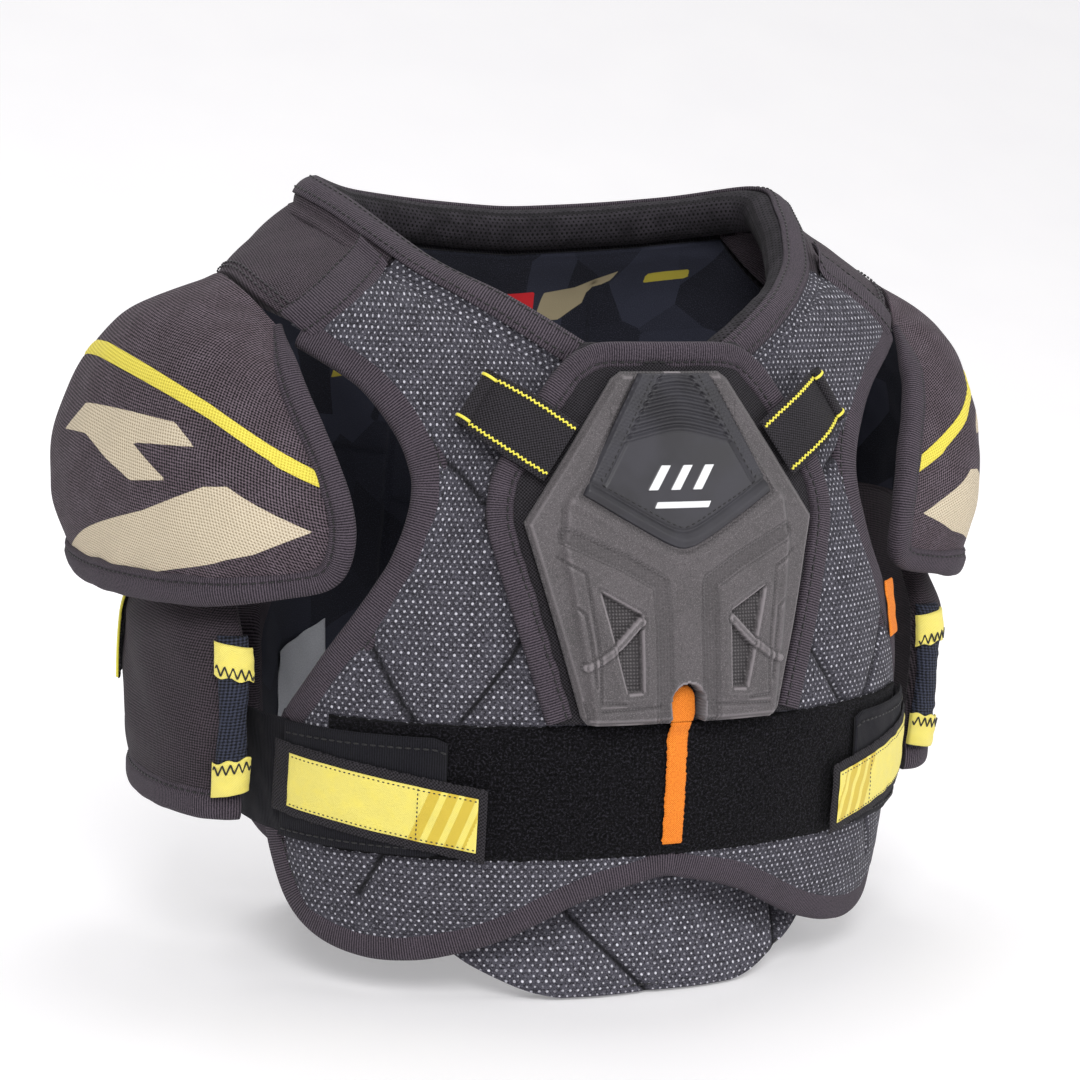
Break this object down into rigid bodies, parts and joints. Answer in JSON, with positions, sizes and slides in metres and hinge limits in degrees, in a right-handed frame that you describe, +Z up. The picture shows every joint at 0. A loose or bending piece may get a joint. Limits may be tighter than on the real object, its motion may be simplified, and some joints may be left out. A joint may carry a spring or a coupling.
{
  "type": "ice hockey shoulder pads",
  "caption": "Padded ice-hockey shoulder protector: chest and back panels, neck roll, hinged shoulder caps, upper-arm pads, sternum guard, belly flap and hook-and-loop straps.",
  "frame": {"origin": "on the floor, under the centre of the part's bounding box", "axes": "+Z up, -Y the way the chest faces, +X to the right for someone looking at the chest"},
  "size_m": [0.524, 0.3046, 0.4041],
  "materials": {
    "dotted_knit": "charcoal knit with a grid of small light dots",
    "back_cloth": "woven cloth over foam",
    "lining": "dark navy brushed lining",
    "collar_mesh": "dark perforated mesh over a round foam roll",
    "binding_tape": "ribbed binding tape with a stitch line",
    "ballistic_cloth": "coarse woven nylon with yellow and tan panels",
    "cap_plastic": "moulded cap insert",
    "moulded_foam": "warm-grey moulded foam, fine speckle",
    "badge_rubber": "dark moulded rubber",
    "loop_pile": "black loop pile",
    "elastic_web": "dark woven elastic",
    "yellow_web": "yellow webbing",
    "orange_strip": "orange webbing",
    "label_cloth": "pale printed label, left blank"
  },
  "bodies": {
    "back": {"back_pad": "back_cloth", "back_liner": "lining", "spine_plate": "cap_plastic", "collar_back": "collar_mesh", "care_label": "label_cloth", "yoke_left": "ballistic_cloth", "yoke_right": "ballistic_cloth", "rear_armhole_binding_left": "binding_tape", "rear_armhole_binding_right": "binding_tape", "back_side_binding_left": "binding_tape", "back_side_binding_right": "binding_tape", "web_anchor_left": "elastic_web", "web_anchor_right": "elastic_web"},
    "front": {"chest_pad": "dotted_knit", "chest_liner": "lining", "hem_binding": "binding_tape", "collar_front": "collar_mesh", "loop_band": "loop_pile", "pull_strip": "orange_strip", "side_tag": "orange_strip", "armhole_binding_left": "binding_tape", "armhole_binding_right": "binding_tape", "side_web_left": "elastic_web", "side_web_right": "elastic_web"},
    "sternum": {"sternum_pad": "binding_tape", "sternum_plate": "moulded_foam", "sternum_badge": "badge_rubber", "sternum_strap_left": "elastic_web", "sternum_strap_right": "elastic_web"},
    "belly": {"belly_pad": "dotted_knit"},
    "strap_left": {"side_strap_left": "elastic_web", "pull_tab_left": "yellow_web"},
    "cap_left": {"cap_cover_left": "ballistic_cloth", "cap_shell_left": "cap_plastic", "cap_liner_left": "lining", "cap_binding_left": "binding_tape"},
    "bicep_left": {"bicep_pad_left": "ballistic_cloth", "bicep_binding_left": "binding_tape", "bicep_band_left": "elastic_web", "band_patch_lower_left": "yellow_web", "band_patch_upper_left": "yellow_web", "hook_strap_left": "loop_pile"},
    "strap_right": {"side_strap_right": "elastic_web", "pull_tab_right": "yellow_web"},
    "cap_right": {"cap_cover_right": "ballistic_cloth", "cap_shell_right": "cap_plastic", "cap_liner_right": "lining", "cap_binding_right": "binding_tape"},
    "bicep_right": {"bicep_pad_right": "ballistic_cloth", "bicep_binding_right": "binding_tape", "bicep_band_right": "elastic_web", "band_patch_lower_right": "yellow_web", "band_patch_upper_right": "yellow_web", "hook_strap_right": "loop_pile"}
  },
  "joints": [
    {"name": "front_swing", "type": "hinge", "parent": "back", "child": "front", "pos_m": [0, -0.038, 0.372], "axis": [-1, 0, 0], "range_deg": [0, 12], "stiffness_Nm_per_rad": 2},
    {"name": "sternum_lift", "type": "hinge", "parent": "front", "child": "sternum", "pos_m": [0, -0.1377, 0.1475], "axis": [1, 0, 0], "range_deg": [0, 10], "stiffness_Nm_per_rad": 1},
    {"name": "belly_fold", "type": "hinge", "parent": "front", "child": "belly", "pos_m": [0, -0.1035, 0.088], "axis": [1, 0, 0], "range_deg": [0, 20]},
    {"name": "strap_peel_left", "type": "hinge", "parent": "front", "child": "strap_left", "pos_m": [-0.1755, -0.063, 0.11], "axis": [0, 0, -1], "range_deg": [0, 40]},
    {"name": "cap_lift_left", "type": "hinge", "parent": "back", "child": "cap_left", "pos_m": [-0.188, 0.021, 0.364], "axis": [0, 1, 0], "range_deg": [0, 55], "stiffness_Nm_per_rad": 0.3},
    {"name": "bicep_swing_left", "type": "hinge", "parent": "cap_left", "child": "bicep_left", "pos_m": [-0.205, 0.027, 0.238], "axis": [1, 0, 0], "range_deg": [-10, 15]},
    {"name": "strap_peel_right", "type": "hinge", "parent": "front", "child": "strap_right", "pos_m": [0.1755, -0.063, 0.11], "axis": [0, 0, 1], "range_deg": [0, 40]},
    {"name": "cap_lift_right", "type": "hinge", "parent": "back", "child": "cap_right", "pos_m": [0.188, 0.021, 0.364], "axis": [0, -1, 0], "range_deg": [0, 55], "stiffness_Nm_per_rad": 0.3},
    {"name": "bicep_swing_right", "type": "hinge", "parent": "cap_right", "child": "bicep_right", "pos_m": [0.205, 0.027, 0.238], "axis": [1, 0, 0], "range_deg": [-10, 15]}
  ]
}
